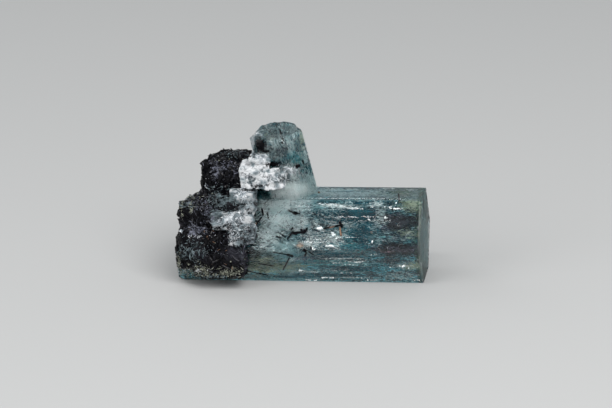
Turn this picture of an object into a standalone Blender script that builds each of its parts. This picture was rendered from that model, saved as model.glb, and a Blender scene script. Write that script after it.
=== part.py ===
"""An aquamarine specimen: a hexagonal crystal that lies on a prism face, a smaller crystal that grows up
out of it, a lump of black schorl needles on its left end, and white feldspar.

X runs along the large crystal, towards its flat end. Y runs away from the front. The origin is under the
middle of the specimen. Sizes are in millimetres here, and each object is scaled to metres as it is made."""

import math
import random

import bmesh
import bpy
from mathutils import Matrix, Vector, noise
from mathutils.bvhtree import BVHTree

MM = 0.001
SEED = 26

# Room kept between neighbouring minerals
GAP = 0.3

# Large crystal. Its top and bottom faces are narrower than its sides, as it grew a little flattened
MAIN_HEIGHT = 15.6
MAIN_FLAT = 7.74
MAIN_REACH = 4.51
MAIN_LEFT = -23.0
MAIN_RIGHT = 22.6
MAIN_EDGE_CUTS = (0.10, 0.10, 0.22, 0.12, 0.16, 0.20)
MAIN_LEDGES = (0, 2, 3, 2, 3, 3)
MAIN_LEDGE_HEIGHTS = (0, 0.12, 0.14, 0.12, 0.16, 0.15)
MAIN_STATIONS = 9
MAIN_FIRST_STATION = 0.035
MAIN_LAST_STATION = 0.98
END_BEVEL = 0.14

# The large crystal's broken left end: how far the break runs back, and between which heights
BREAK_RUN = 5.2
BREAK_FROM = 2.5
BREAK_TO = 11.0
BREAK_SKEW = 0.07
BREAK_ROUGH = 0.5
BREAK_GRAIN = 0.4
BREAK_SEED = 7.7
BREAK_CAP = ((0, 0.3), (0, 0.6), (0, 0.84), (0.008, 0.95))

# Small crystal: where its axis leaves the large crystal's top face, and how it leans
SIDE_FOOT = (-1.7, 0.9, MAIN_HEIGHT)
SIDE_LEAN = (-0.15, -0.30, 1.0)
SIDE_ACROSS_FLATS = 8.75
SIDE_TURN = math.radians(-4)
SIDE_LENGTH = 13.1
SIDE_BURIED = 7.0
SIDE_SHOULDER = 2.6
SIDE_LEDGES = 2
SIDE_LEDGE_HEIGHT = 0.12
SIDE_STATIONS = (0, 0.35, 0.55, 0.75, 0.9)
SIDE_CAP = (1.0, 0.93, 0.78, 0.60, 0.42, 0.22)
SIDE_EDGE_CUT = (0.08, 0.3)

# The small crystal's broken top: its slopes, its unevenness, a step across it, a lower shoulder at its left,
# and how far its rim is worn down
TOP_SLOPE_X = -0.10
TOP_SLOPE_Y = -0.16
TOP_ROUGH = 0.6
TOP_GRAIN = 0.5
TOP_SEED = 3.1
TOP_STEP = 0.45
TOP_STEP_LINE = (0.35, -0.5, -0.6)
TOP_STEP_HALF_WIDTH = 0.15
TOP_SHOULDER = -0.8
TOP_SHOULDER_FROM = 3.2
TOP_SHOULDER_TO = 4.8
TOP_RIM_DROP = 0.35

# A ledge's own slope across a prism face, and the stretch over which it dies out, as shares
LEDGE_SLOPE = 0.012
LEDGE_FADE = 0.08

# A lump's unevenness: how fast the coarse and the fine part of it change, and the fine part's share. A fully
# round lump bulges a little past its box's faces
LUMP_COARSE = 0.42
LUMP_FINE = 1.1
LUMP_FINE_SHARE = 0.7
LUMP_BULGE = 1.12

# Schorl lumps: low corner, high corner, seed, roughness, and how fast each drops towards the back
SCHORL_LUMPS = (
    dict(low=(-22.0, -8.9, 3.4), high=(-15.8, 4.4, 9.8), seed=1, rough=0.5),
    dict(low=(-21.1, -8.6, 7.2), high=(-15.2, 3.0, 15.0), seed=2, rough=0.5, slope=0.32),
    dict(low=(-18.6, -10.1, 2.4), high=(-9.0, -5.6, 11.2), seed=3, rough=0.5, roundness=0.3),
    dict(low=(-17.4, -8.6, 9.2), high=(-7.8, -1.0, 17.4), seed=4, rough=0.6),
    dict(low=(-17.5, -4.2, 13.2), high=(-8.4, 3.6, 22.2), seed=5, rough=0.6, slope=0.32),
    dict(low=(-14.6, -2.6, 18.0), high=(-8.2, 2.6, 23.5), seed=6, rough=0.5, slope=0.32),
    dict(low=(-21.4, 0.6, 2.8), high=(-11.0, 9.7, 13.4), seed=7, rough=0.7),
    dict(low=(-16.4, 0.4, 11.0), high=(-6.8, 6.2, 18.0), seed=8, rough=0.7, slope=0.2),
    dict(low=(-20.9, -9.7, 5.2), high=(-14.6, -5.0, 11.8), seed=9, rough=0.6),
    dict(low=(-18.4, -6.8, 11.6), high=(-13.2, -0.6, 16.9), seed=10, rough=0.5, slope=0.3),
    dict(low=(-20.9, -2.4, 8.6), high=(-15.6, 6.0, 14.2), seed=16, rough=0.6, slope=0.3),
    dict(low=(-12.8, -4.4, 15.8), high=(-7.9, 1.8, 20.8), seed=17, rough=0.5),
    dict(low=(-17.2, -9.2, 2.2), high=(-12.6, -5.0, 5.4), seed=18, rough=0.4),
    dict(low=(-15.9, -3.2, 19.6), high=(-11.8, 0.8, 23.3), seed=19, rough=0.4, slope=0.3),
    dict(low=(-13.6, 3.6, 6.0), high=(-8.2, 9.3, 12.2), seed=20, rough=0.6),
)

# Coarse schorl crystals over the lumps, and the box that they are spread around. Every second one stands
# out of the surface, and the others are thicker and lie in it
SCHORL_NEEDLES = 110
STANDING_RADIUS = (0.2, 0.42)
STANDING_ROOT = 1.5
STANDING_TIP = (0.3, 0.8)
STANDING_WANDER = 0.6
LYING_RADIUS = (0.35, 0.75)
LYING_HALF_LENGTH = (1.2, 2.4)
SPREAD_LOW = (-20.0, -7.0, 5.0)
SPREAD_HIGH = (-9.0, 6.0, 22.0)
LOWEST_NEEDLE = 2.4
LEFTMOST_NEEDLE = -21.0
FAR = 60.0

# White feldspar: the lumps of each piece
FELDSPAR = dict(
    feldspar_block=(
        dict(low=(-9.6, -7.2, 18.7), high=(-5.0, -2.2, 22.8), seed=11, rough=0.4, roundness=0.15),
        dict(low=(-7.4, -7.8, 19.0), high=(-1.3, -4.4, 22.1), seed=13, rough=0.45, roundness=0.15),
        dict(low=(-7.6, -6.6, 21.6), high=(-4.2, -2.6, 25.0), seed=24, rough=0.4, roundness=0.15),
    ),
    feldspar_patch=(
        dict(low=(-11.5, -8.4, 13.6), high=(-7.1, -4.8, 18.3), seed=12, rough=0.5, roundness=0.25),
        dict(low=(-14.8, -9.4, 11.4), high=(-9.4, -6.2, 14.7), seed=14, rough=0.5, roundness=0.25),
        dict(low=(-12.2, -9.8, 8.8), high=(-7.0, -6.8, 14.2), seed=15, rough=0.5, roundness=0.25),
    ),
)


def clear_scene():
    for obj in list(bpy.data.objects):
        bpy.data.objects.remove(obj, do_unlink=True)


def collection(name):
    made = bpy.data.collections.new(name)
    bpy.context.scene.collection.children.link(made)
    return made


def material(name, color, roughness, transmission=0.0):
    made = bpy.data.materials.new(name)
    made.use_nodes = True
    shader = made.node_tree.nodes["Principled BSDF"]
    shader.inputs["Base Color"].default_value = (*color, 1)
    shader.inputs["Roughness"].default_value = roughness
    shader.inputs["Metallic"].default_value = 0
    shader.inputs["Transmission Weight"].default_value = transmission
    made.diffuse_color = (*color, 1)
    return made


def add_object(name, bm, home):
    """An object in metres from a bmesh in millimetres."""
    bmesh.ops.scale(bm, vec=(MM, MM, MM), verts=bm.verts)
    bmesh.ops.recalc_face_normals(bm, faces=bm.faces)
    mesh = bpy.data.meshes.new(name)
    bm.to_mesh(mesh)
    bm.free()
    obj = bpy.data.objects.new(name, mesh)
    home.objects.link(obj)
    return obj


def as_helper(obj):
    obj.hide_render = True
    obj.display_type = "WIRE"
    return obj


def boolean(obj, operation, other):
    """A Boolean with an object or with all of a collection."""
    modifier = obj.modifiers.new(operation.lower(), "BOOLEAN")
    modifier.operation = operation
    modifier.solver = "EXACT"
    if isinstance(other, bpy.types.Collection):
        modifier.operand_type = "COLLECTION"
        modifier.collection = other
    else:
        modifier.object = other


def bodies_of(bm):
    """The mesh's faces, grouped by the two-sided edges that join them, with the largest group last."""
    bodies = []
    left = set(bm.faces)
    while left:
        body = [left.pop()]
        for face in body:
            for edge in face.edges:
                if len(edge.link_faces) != 2:
                    continue
                for other in edge.link_faces:
                    if other in left:
                        left.remove(other)
                        body.append(other)
        bodies.append(body)
    return sorted(bodies, key=len)


def settle(obj):
    """Applies the modifiers, and keeps only the largest body of what they leave."""
    bpy.context.view_layer.update()
    graph = bpy.context.evaluated_depsgraph_get()
    mesh = bpy.data.meshes.new_from_object(obj.evaluated_get(graph))
    obj.modifiers.clear()
    bm = bmesh.new()
    bm.from_mesh(mesh)
    bmesh.ops.triangulate(bm, faces=bm.faces)
    for body in bodies_of(bm)[:-1]:
        bmesh.ops.delete(bm, geom=body, context="FACES")
    bm.to_mesh(mesh)
    bm.free()
    obj.data = mesh


def smoothstep(low, high, value):
    share = min(max((value - low) / (high - low), 0), 1)
    return share * share * (3 - 2 * share)


def growth_ledges(count, height, rng):
    """Ledges on one prism face: where each starts and ends across the face, how high it stands, and
    the stretch of the crystal's length that it runs along."""
    ledges = []
    for i in range(count):
        start = (i + rng.uniform(0.15, 0.45)) / count
        end = start + rng.uniform(0.25, 0.5) / count
        near = rng.uniform(-0.2, 0.6)
        far = near + rng.uniform(0.3, 0.9)
        ledges.append((start, end, height * rng.uniform(0.4, 1.0) * rng.choice((-1, 1)), near, far))
    return ledges


def prism_ring(corners, ledges, edge_cuts, along, grow, squeeze=1.0):
    """The outline of a prism at one place along its length, from its corners and its faces' ledges."""
    ring = []
    count = len(corners)
    middle = sum((Vector(c) for c in corners), Vector((0, 0))) / count
    for i, corner in enumerate(corners):
        start = Vector(corner)
        side = Vector(corners[(i + 1) % count]) - start
        normal = Vector((side.y, -side.x)).normalized()
        stops = [(edge_cuts[i] / side.length, 0)]
        for first, last, height, near, far in ledges[i]:
            shown = smoothstep(near - LEDGE_FADE, near, along) * (1 - smoothstep(far, far + LEDGE_FADE, along))
            stops += [(first, 0), (first + LEDGE_SLOPE, height * shown)]
            stops += [(last, height * shown), (last + LEDGE_SLOPE, 0)]
        stops.append((1 - edge_cuts[(i + 1) % count] / side.length, 0))
        for share, height in stops:
            ring.append(start + side * share + normal * (height + grow))
    return [middle + (point - middle) * squeeze for point in ring]


def loft(rings):
    """A closed skin over rings of points, with the same number of points in each."""
    bm = bmesh.new()
    loops = [[bm.verts.new(point) for point in ring] for ring in rings]
    for low, high in zip(loops, loops[1:]):
        for i in range(len(low)):
            j = (i + 1) % len(low)
            bm.faces.new((low[i], low[j], high[j], high[i]))
    bm.faces.new(loops[0])
    bm.faces.new(loops[-1])
    return bm


def main_corners():
    """The large crystal's outline in Y and Z, from its bottom front corner."""
    half = MAIN_FLAT / 2
    wide = half + MAIN_REACH
    middle = MAIN_HEIGHT / 2
    return [(-half, 0), (half, 0), (wide, middle), (half, MAIN_HEIGHT), (-half, MAIN_HEIGHT), (-wide, middle)]


def broken_end(y, z):
    """How far the large crystal's broken left end falls short of its full length, over a point of its
    cross-section: the break runs back towards the top, and its surface is uneven."""
    slant = BREAK_RUN * smoothstep(BREAK_FROM, BREAK_TO, z)
    skew = BREAK_SKEW * (y + MAIN_FLAT / 2 + MAIN_REACH)
    return slant + skew + BREAK_ROUGH * noise.noise(Vector((y * BREAK_GRAIN, z * BREAK_GRAIN, BREAK_SEED)))


def main_crystal(name, home, grow=0.0):
    """The large crystal, with the ledges that growth leaves along its faces, and a broken left end."""
    rng = random.Random(SEED)
    corners = main_corners()
    ledges = [growth_ledges(MAIN_LEDGES[i], MAIN_LEDGE_HEIGHTS[i], rng) for i in range(len(corners))]
    left = MAIN_LEFT - grow
    right = MAIN_RIGHT + grow
    length = right - left
    step = (MAIN_LAST_STATION - MAIN_FIRST_STATION) / MAIN_STATIONS
    stations = list(BREAK_CAP)
    stations += [(MAIN_FIRST_STATION + step * k, 1) for k in range(MAIN_STATIONS + 1)]
    rings = []
    for place, squeeze in stations:
        ring = prism_ring(corners, ledges, MAIN_EDGE_CUTS, place, grow, squeeze)
        fade = (1 - place) ** 3
        rings.append([(left + place * length + broken_end(*point) * fade, *point) for point in ring])
    for short, squeeze in ((END_BEVEL, 1), (0, 1 - 2 * END_BEVEL / MAIN_HEIGHT)):
        ring = prism_ring(corners, ledges, MAIN_EDGE_CUTS, 1, grow, squeeze)
        rings.append([(right - short, *point) for point in ring])
    return add_object(name, loft(rings), home)


def side_place():
    """The small crystal's frame: its Z runs up its axis, from where the axis leaves the large crystal."""
    up = Vector(SIDE_LEAN).normalized()
    across = Vector((1, 0, 0))
    across = (across - up * across.dot(up)).normalized()
    frame = Matrix((across, up.cross(across), up)).transposed().to_4x4()
    return Matrix.Translation(Vector(SIDE_FOOT)) @ frame @ Matrix.Rotation(SIDE_TURN, 4, "Z")


def broken_top(x, y):
    """How high the small crystal's broken top stands over a point of its cross-section."""
    slope = TOP_SLOPE_X * x + TOP_SLOPE_Y * y
    rough = TOP_ROUGH * noise.noise(Vector((x * TOP_GRAIN, y * TOP_GRAIN, TOP_SEED)))
    past_step = TOP_STEP_LINE[0] * x + TOP_STEP_LINE[1] * y + TOP_STEP_LINE[2]
    step = TOP_STEP * smoothstep(-TOP_STEP_HALF_WIDTH, TOP_STEP_HALF_WIDTH, past_step)
    shoulder = TOP_SHOULDER * smoothstep(TOP_SHOULDER_FROM, TOP_SHOULDER_TO, -x)
    return slope + rough + step + shoulder


def side_crystal(name, home, grow=0.0):
    """The small crystal: a hexagonal prism with a rough broken top."""
    rng = random.Random(SEED + 1)
    radius = SIDE_ACROSS_FLATS / math.sqrt(3)
    corners = [(radius * math.cos(math.pi * k / 3), radius * math.sin(math.pi * k / 3)) for k in range(6)]
    ledges = [growth_ledges(SIDE_LEDGES, SIDE_LEDGE_HEIGHT, rng) for _ in corners]
    edge_cuts = [rng.uniform(*SIDE_EDGE_CUT) for _ in corners]
    rings = []
    for place in SIDE_STATIONS:
        ring = prism_ring(corners, ledges, edge_cuts, place, grow)
        height = -SIDE_BURIED + place * (SIDE_LENGTH + SIDE_BURIED)
        rings.append([(*point, min(height, SIDE_LENGTH - SIDE_SHOULDER)) for point in ring])
    rim = prism_ring(corners, ledges, edge_cuts, 1, grow)
    for inset in SIDE_CAP:
        drop = TOP_RIM_DROP * smoothstep(SIDE_CAP[1], SIDE_CAP[0], inset)
        ring = [point * inset for point in rim]
        rings.append([(*point, SIDE_LENGTH + broken_top(*point) - drop + grow) for point in ring])
    bm = loft(rings)
    bmesh.ops.transform(bm, matrix=side_place(), verts=bm.verts)
    return add_object(name, bm, home)


def lump(name, home, low, high, seed, cuts=3, rough=0.5, roundness=0.4, grow=0.0, slope=0.0):
    """A rough block between two corners: a box, rounded, then pushed in and out by noise. Slope is how
    fast it drops towards the back."""
    low = Vector(low)
    high = Vector(high)
    middle = (low + high) / 2
    half = (high - low) / 2
    bm = bmesh.new()
    bmesh.ops.create_cube(bm, size=2)
    bmesh.ops.subdivide_edges(bm, edges=bm.edges, cuts=cuts, use_grid_fill=True)
    shift = Vector((seed * 7.3, seed * 3.1, seed * 1.7))
    for vert in bm.verts:
        form = vert.co.lerp(vert.co.normalized() * LUMP_BULGE, roundness)
        place = Vector(form[k] * half[k] for k in range(3))
        out = Vector(form[k] / half[k] for k in range(3)).normalized()
        push = noise.noise(place * LUMP_COARSE + shift)
        push += LUMP_FINE_SHARE * noise.noise(place * LUMP_FINE + shift)
        place += out * (rough * push + grow)
        place.z -= slope * place.y
        vert.co = middle + place
    return add_object(name, bm, home)


def joined_lumps(name, home, helpers, forms, grow=0.0):
    """Lumps joined in one solid."""
    first = lump(name, home, grow=grow, **forms[0])
    for number, form in enumerate(forms[1:]):
        boolean(first, "UNION", as_helper(lump(f"{name}_{number}", helpers, grow=grow, **form)))
    return first


def needle(name, home, start, end, radius, sides, turn):
    """One schorl crystal: a straight prism with a low point."""
    axis = end - start
    length = axis.length
    frame = Matrix.Translation(start) @ axis.to_track_quat("Z", "Y").to_matrix().to_4x4()
    angles = [turn + math.tau * k / sides for k in range(sides)]
    bm = bmesh.new()
    low = [bm.verts.new(frame @ Vector((radius * math.cos(a), radius * math.sin(a), 0))) for a in angles]
    high = [bm.verts.new(frame @ Vector((radius * math.cos(a), radius * math.sin(a), length - radius / 2)))
            for a in angles]
    tip = bm.verts.new(frame @ Vector((0, 0, length)))
    for i in range(sides):
        j = (i + 1) % sides
        bm.faces.new((low[i], low[j], high[j], high[i]))
        bm.faces.new((high[i], high[j], tip))
    bm.faces.new(low)
    return add_object(name, bm, home)


def schorl_needles(lumps, home):
    """Coarse schorl crystals over the lumps, where lines from outside first meet them."""
    bpy.context.view_layer.update()
    tree = BVHTree.FromObject(lumps, bpy.context.evaluated_depsgraph_get())
    rng = random.Random(SEED + 5)
    for number in range(SCHORL_NEEDLES):
        aim = Vector([rng.uniform(SPREAD_LOW[k], SPREAD_HIGH[k]) for k in range(3)])
        way = Vector([rng.gauss(0, 1) for _ in range(3)]).normalized()
        wander = Vector([rng.uniform(-1, 1) for _ in range(3)])
        radius = rng.uniform(*(STANDING_RADIUS if number % 2 else LYING_RADIUS))
        half = rng.uniform(*LYING_HALF_LENGTH)
        stand = rng.uniform(*STANDING_TIP)
        sides = rng.choice((3, 6))
        turn = rng.uniform(0, math.tau)
        hit, normal, _, _ = tree.ray_cast((aim + way * FAR) * MM, -way)
        if hit is None:
            continue
        hit = hit / MM
        if number % 2:
            out = (normal + STANDING_WANDER * wander).normalized()
            start = hit - out * STANDING_ROOT
            end = hit + out * stand
        else:
            along = (wander - normal * wander.dot(normal)).normalized()
            start = hit - along * half - normal * radius / 2
            end = hit + along * half - normal * radius / 4
        if min(start.z, end.z) < LOWEST_NEEDLE or min(start.x, end.x) < LEFTMOST_NEEDLE:
            continue
        as_helper(needle(f"schorl_crystal_{number:03}", home, start, end, radius, sides, turn))


def build():
    clear_scene()
    specimen = collection("aquamarine_crystal")
    cutters = collection("cutters")
    lumps = collection("schorl_lumps")
    needles = collection("schorl_needles")
    blue = material("aquamarine", (0.42, 0.62, 0.62), 0.08, 1.0)
    black = material("schorl", (0.03, 0.03, 0.035), 0.35)
    white = material("feldspar", (0.78, 0.77, 0.74), 0.55)

    aquamarine = main_crystal("aquamarine", specimen)
    boolean(aquamarine, "UNION", as_helper(side_crystal("side_crystal", cutters)))
    settle(aquamarine)
    aquamarine.data.materials.append(blue)

    room = as_helper(main_crystal("crystal_room", cutters, GAP))
    boolean(room, "UNION", as_helper(side_crystal("side_room", cutters, GAP)))
    rooms = [room]
    for name, forms in FELDSPAR.items():
        feldspar = joined_lumps(name, specimen, cutters, forms)
        for other in rooms:
            boolean(feldspar, "DIFFERENCE", other)
        settle(feldspar)
        feldspar.data.materials.append(white)
        rooms.append(as_helper(joined_lumps(name + "_room", cutters, cutters, forms, GAP)))

    schorl = lump("schorl_mass", specimen, **SCHORL_LUMPS[0])
    for number, form in enumerate(SCHORL_LUMPS[1:]):
        as_helper(lump(f"schorl_lump_{number}", lumps, **form))
    boolean(schorl, "UNION", lumps)
    settle(schorl)
    schorl_needles(schorl, needles)
    boolean(schorl, "UNION", needles)
    settle(schorl)
    for other in rooms:
        boolean(schorl, "DIFFERENCE", other)
        settle(schorl)
    schorl.data.materials.append(black)

    for helpers in (cutters, lumps, needles):
        helpers.hide_render = True


build()
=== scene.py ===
"""The looks of an aquamarine specimen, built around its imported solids: the clear crystal with its striated
faces and what is sealed inside it, the schorl needles, and the grains of the white feldspar.

Sizes are in millimetres, and each mesh is scaled to metres as it is made. X runs along the large crystal
to its flat end, Y runs away from the front, and Z is up. A place inside the crystal is named by the pixel
of the photograph where it shows and by its depth under the face in front of it."""

import math
import random

import bmesh
import bpy
from mathutils import Euler, Matrix, Vector, noise
from mathutils.bvhtree import BVHTree


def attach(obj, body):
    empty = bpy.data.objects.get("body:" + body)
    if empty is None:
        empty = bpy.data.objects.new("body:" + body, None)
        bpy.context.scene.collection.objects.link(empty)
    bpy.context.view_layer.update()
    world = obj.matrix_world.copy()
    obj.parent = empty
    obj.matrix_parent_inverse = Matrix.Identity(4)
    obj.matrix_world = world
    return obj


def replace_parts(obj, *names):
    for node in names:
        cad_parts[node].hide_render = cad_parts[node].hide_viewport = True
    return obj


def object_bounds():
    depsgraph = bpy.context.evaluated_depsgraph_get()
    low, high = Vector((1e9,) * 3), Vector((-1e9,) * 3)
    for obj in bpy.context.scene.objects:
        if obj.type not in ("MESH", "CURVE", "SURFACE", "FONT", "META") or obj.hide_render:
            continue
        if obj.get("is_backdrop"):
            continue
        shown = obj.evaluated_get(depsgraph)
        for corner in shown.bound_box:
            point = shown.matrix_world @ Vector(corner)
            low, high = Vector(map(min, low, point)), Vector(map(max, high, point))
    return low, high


MM = 0.001
IOR = 1.57
X_AXIS = Vector((1, 0, 0))

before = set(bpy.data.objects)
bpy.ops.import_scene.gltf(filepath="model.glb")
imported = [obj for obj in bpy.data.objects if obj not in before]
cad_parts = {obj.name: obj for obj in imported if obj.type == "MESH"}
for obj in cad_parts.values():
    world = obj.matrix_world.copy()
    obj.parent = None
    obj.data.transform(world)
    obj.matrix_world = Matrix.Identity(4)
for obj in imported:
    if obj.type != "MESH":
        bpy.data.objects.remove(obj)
cad_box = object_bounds()

# The photograph's frame in pixels, and the camera that a fit to the crystal's edges gave
FRAME_WIDTH = 612
FRAME_HEIGHT = 408
SENSOR = 36.0
FOCAL_PX = 2765.0
CAMERA_PLACE = Vector((79.658, -469.054, 173.668))
CAMERA_TARGET = Vector((1.690, -3.870, 14.837))
CAMERA_ROLL = math.radians(2.477)

# The large crystal's section in the solids: half its height, half its bottom face and half its width
MIDDLE = 7.8
HALF_FLAT = 3.87
HALF_WIDE = 8.38
CORNERS = ((-HALF_FLAT, 0), (HALF_FLAT, 0), (HALF_WIDE, MIDDLE),
           (HALF_FLAT, 2 * MIDDLE), (-HALF_FLAT, 2 * MIDDLE), (-HALF_WIDE, MIDDLE))

# The small crystal in the solids: where its axis leaves the top face, and how it leans
SIDE_FOOT = Vector((-1.7, 0.9, 15.6))
SIDE_AXIS = Vector((-0.15, -0.30, 1.0)).normalized()
SIDE_LENGTH = 13.1
SIDE_REACH = 5.6

# The floor's half size in metres, its colour near the specimen and far off, and where it turns, in metres;
# the lighter colour far off is painted light, which makes the far floor as bright as the sky
FLOOR_HALF = 4.0
FLOOR_NEAR = (0.46, 0.46, 0.455)
FLOOR_FAR = (0.86, 0.86, 0.86)
FLOOR_TURN = (0.22, 0.95)

# The sky's light, and each lamp's place and size in metres and its power in watts
SKY_COLOR = (0.93, 0.97, 1.0)
SKY_STRENGTH = 0.46
LAMPS_FACE = Vector((0, 0, 0.01))
LAMPS = {
    "key": ((0.30, -0.46, 0.48), (0.40, 0.40), 4.7),
    "fill": ((-0.48, -0.36, 0.34), (0.40, 0.40), 1.5),
    "back": ((-0.62, 0.30, 0.55), (0.40, 0.40), 0.9),
    "top": ((-0.12, -0.34, 0.66), (0.36, 0.12), 0.9),
}


# Camera, stage and lights

def make_camera():
    data = bpy.data.cameras.new("camera")
    data.sensor_width = SENSOR
    data.lens = FOCAL_PX * SENSOR / FRAME_WIDTH
    data.clip_start = 0.01
    data.clip_end = 20
    made = bpy.data.objects.new("camera", data)
    bpy.context.scene.collection.objects.link(made)
    look = (CAMERA_TARGET - CAMERA_PLACE).to_track_quat("-Z", "Y").to_matrix().to_4x4()
    place = Matrix.Translation(CAMERA_PLACE * MM)
    made.matrix_world = place @ look @ Matrix.Rotation(-CAMERA_ROLL, 4, "Z")
    bpy.context.scene.camera = made
    bpy.context.view_layer.update()
    return made


def area_light(name, place, size, power):
    data = bpy.data.lights.new(name, "AREA")
    data.shape = "RECTANGLE"
    data.size, data.size_y = size
    data.energy = power
    light = bpy.data.objects.new(name, data)
    bpy.context.scene.collection.objects.link(light)
    turn = (LAMPS_FACE - Vector(place)).to_track_quat("-Z", "Y").to_matrix().to_4x4()
    light.matrix_world = Matrix.Translation(place) @ turn


def make_stage():
    world = bpy.data.worlds.new("studio")
    bpy.context.scene.world = world
    world.use_nodes = True
    background = world.node_tree.nodes["Background"]
    background.inputs["Color"].default_value = (*SKY_COLOR, 1)
    background.inputs["Strength"].default_value = SKY_STRENGTH
    bm = bmesh.new()
    bmesh.ops.create_grid(bm, x_segments=1, y_segments=1, size=FLOOR_HALF)
    mesh = bpy.data.meshes.new("floor")
    bm.to_mesh(mesh)
    bm.free()
    floor = bpy.data.objects.new("floor", mesh)
    bpy.context.scene.collection.objects.link(floor)
    made, shader = new_material("floor", FLOOR_NEAR, 0.7)
    # The floor grows lighter far off: painted light, so that it meets the sky without a line.
    far = add_node(made, "VectorMath", links={0: object_place(made)}, operation="LENGTH")
    ramp(made, shader, far.outputs["Value"], tuple(zip(FLOOR_TURN, (FLOOR_NEAR, FLOOR_FAR))))
    mesh.materials.append(made)
    floor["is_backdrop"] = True
    for name, (place, size, power) in LAMPS.items():
        area_light(name, place, size, power)


# Materials

# Schorl's black and its shine, and the shine of what is sealed in beryl, which is less than in air
SCHORL_BLACK = (0.002, 0.002, 0.003)
SCHORL_SHINE = 0.14
SEALED_SHINE = 0.08

# How much a noise is drawn out along the large crystal
LENGTHWISE = (0.3, 1, 1)

# The beryl's colour by absorption, with the density per metre
BERYL_COLOR = (0.14, 0.745, 0.815)
BERYL_DENSITY = 165

# Roughness on the clear faces by noise, on the flat end by X, and on the small crystal's top by how far up
# its axis it is
FACE_SPAN = (0.40, 0.72)
FACE_ROUGHNESS = (0.02, 0.11)
END_SPAN = (22.1, 22.25)
END_ROUGHNESS = 0.4
TOP_SPAN = (11.9, 12.3)
TOP_ROUGHNESS = 0.11


def new_material(name, color, roughness, shine=0.5):
    made = bpy.data.materials.new(name)
    made.use_nodes = True
    shader = made.node_tree.nodes["Principled BSDF"]
    shader.inputs["Base Color"].default_value = (*color, 1)
    shader.inputs["Roughness"].default_value = roughness
    shader.inputs["Specular IOR Level"].default_value = shine
    return made, shader


def add_node(made, kind, values=None, links=None, operation=None):
    """A shader node, with its inputs' values and what is linked to them."""
    node = made.node_tree.nodes.new("ShaderNode" + kind)
    if operation:
        node.operation = operation
    for socket, value in (values or {}).items():
        node.inputs[socket].default_value = value
    for socket, source in (links or {}).items():
        made.node_tree.links.new(source, node.inputs[socket])
    return node


def object_place(made):
    """The shaded point's place in the object, in metres."""
    return add_node(made, "TexCoord").outputs["Object"]


def stretched_noise(made, scale, stretch=(1, 1, 1), detail=4.0):
    """A noise value over the object's own place, with the scale per metre along each axis."""
    mapping = add_node(made, "Mapping", {"Scale": stretch}, {"Vector": object_place(made)})
    fineness = {"Scale": scale, "Detail": detail}
    texture = add_node(made, "TexNoise", fineness, {"Vector": mapping.outputs["Vector"]})
    return texture.outputs["Fac"]


def ramp(made, shader, value, stops):
    """Colours a shader by a value: stops are (place, colour)."""
    node = add_node(made, "ValToRGB", links={"Fac": value})
    elements = node.color_ramp.elements
    while len(elements) < len(stops):
        elements.new(0.5)
    for element, (place, color) in zip(elements, stops):
        element.position = place
        element.color = (*color, 1)
    made.node_tree.links.new(node.outputs["Color"], shader.inputs["Base Color"])


def bump(made, shader, value, distance, strength):
    node = add_node(made, "Bump", {"Distance": distance * MM, "Strength": strength}, {"Height": value})
    made.node_tree.links.new(node.outputs["Normal"], shader.inputs["Normal"])


def grained(name, low, high, roughness, scale, stretch=(1, 1, 1), middle=0.5, shine=0.5):
    """A material whose colour runs between two by noise, with a fine bump."""
    made, shader = new_material(name, high, roughness, shine)
    ramp(made, shader, stretched_noise(made, scale, stretch), ((middle - 0.14, low), (middle + 0.14, high)))
    bump(made, shader, stretched_noise(made, scale * 2, stretch), 0.03, 0.6)
    return made


def sealed(name, low, high, roughness, scale, stretch=(1, 1, 1)):
    """A grained material for what is sealed in beryl."""
    return grained(name, low, high, roughness, scale, stretch, shine=SEALED_SHINE)


def schorl_material():
    """Glossy black, with dull violet and blue-gray patches where its needles split the light."""
    made, shader = new_material("schorl", SCHORL_BLACK, 0.2, SCHORL_SHINE)
    stops = ((0.48, SCHORL_BLACK), (0.57, (0.008, 0.008, 0.011)), (0.64, (0.024, 0.024, 0.032)),
             (0.74, (0.07, 0.075, 0.09)))
    ramp(made, shader, stretched_noise(made, 190, detail=9), stops)
    bump(made, shader, stretched_noise(made, 2600, (1, 1, 0.25), 3), 0.04, 0.6)
    return made


def mottled(name, whiteness):
    """Feldspar: white, with blue-gray cleavage patches and black specks where schorl grows in it."""
    made, shader = new_material(name, (0.7, 0.7, 0.7), 0.45)
    gray = 0.40 - 0.10 * whiteness
    white = 0.42 + 0.16 * whiteness
    stops = ((gray - 0.06, (0.012, 0.012, 0.015)), (gray, (0.07, 0.09, 0.10)),
             (gray + 0.09, (0.17, 0.21, 0.23)), (gray + 0.22, (white, white * 1.02, white * 1.04)))
    ramp(made, shader, stretched_noise(made, 650, detail=8), stops)
    bump(made, shader, stretched_noise(made, 1800, detail=6), 0.06, 0.8)
    return made


def mapped(made, value, span, limits):
    """A value that goes from one limit to the other as another value goes through a span."""
    ends = {"From Min": span[0], "From Max": span[1], "To Min": limits[0], "To Max": limits[1]}
    return add_node(made, "MapRange", ends, {"Value": value}).outputs["Result"]


def roughness_along(made, direction, span, roughness):
    """Roughness that sets in over a span, in millimetres, along a direction."""
    along = add_node(made, "VectorMath", {1: direction}, {0: object_place(made)}, "DOT_PRODUCT")
    return mapped(made, along.outputs["Value"], [end * MM for end in span], (0, roughness))


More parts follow.
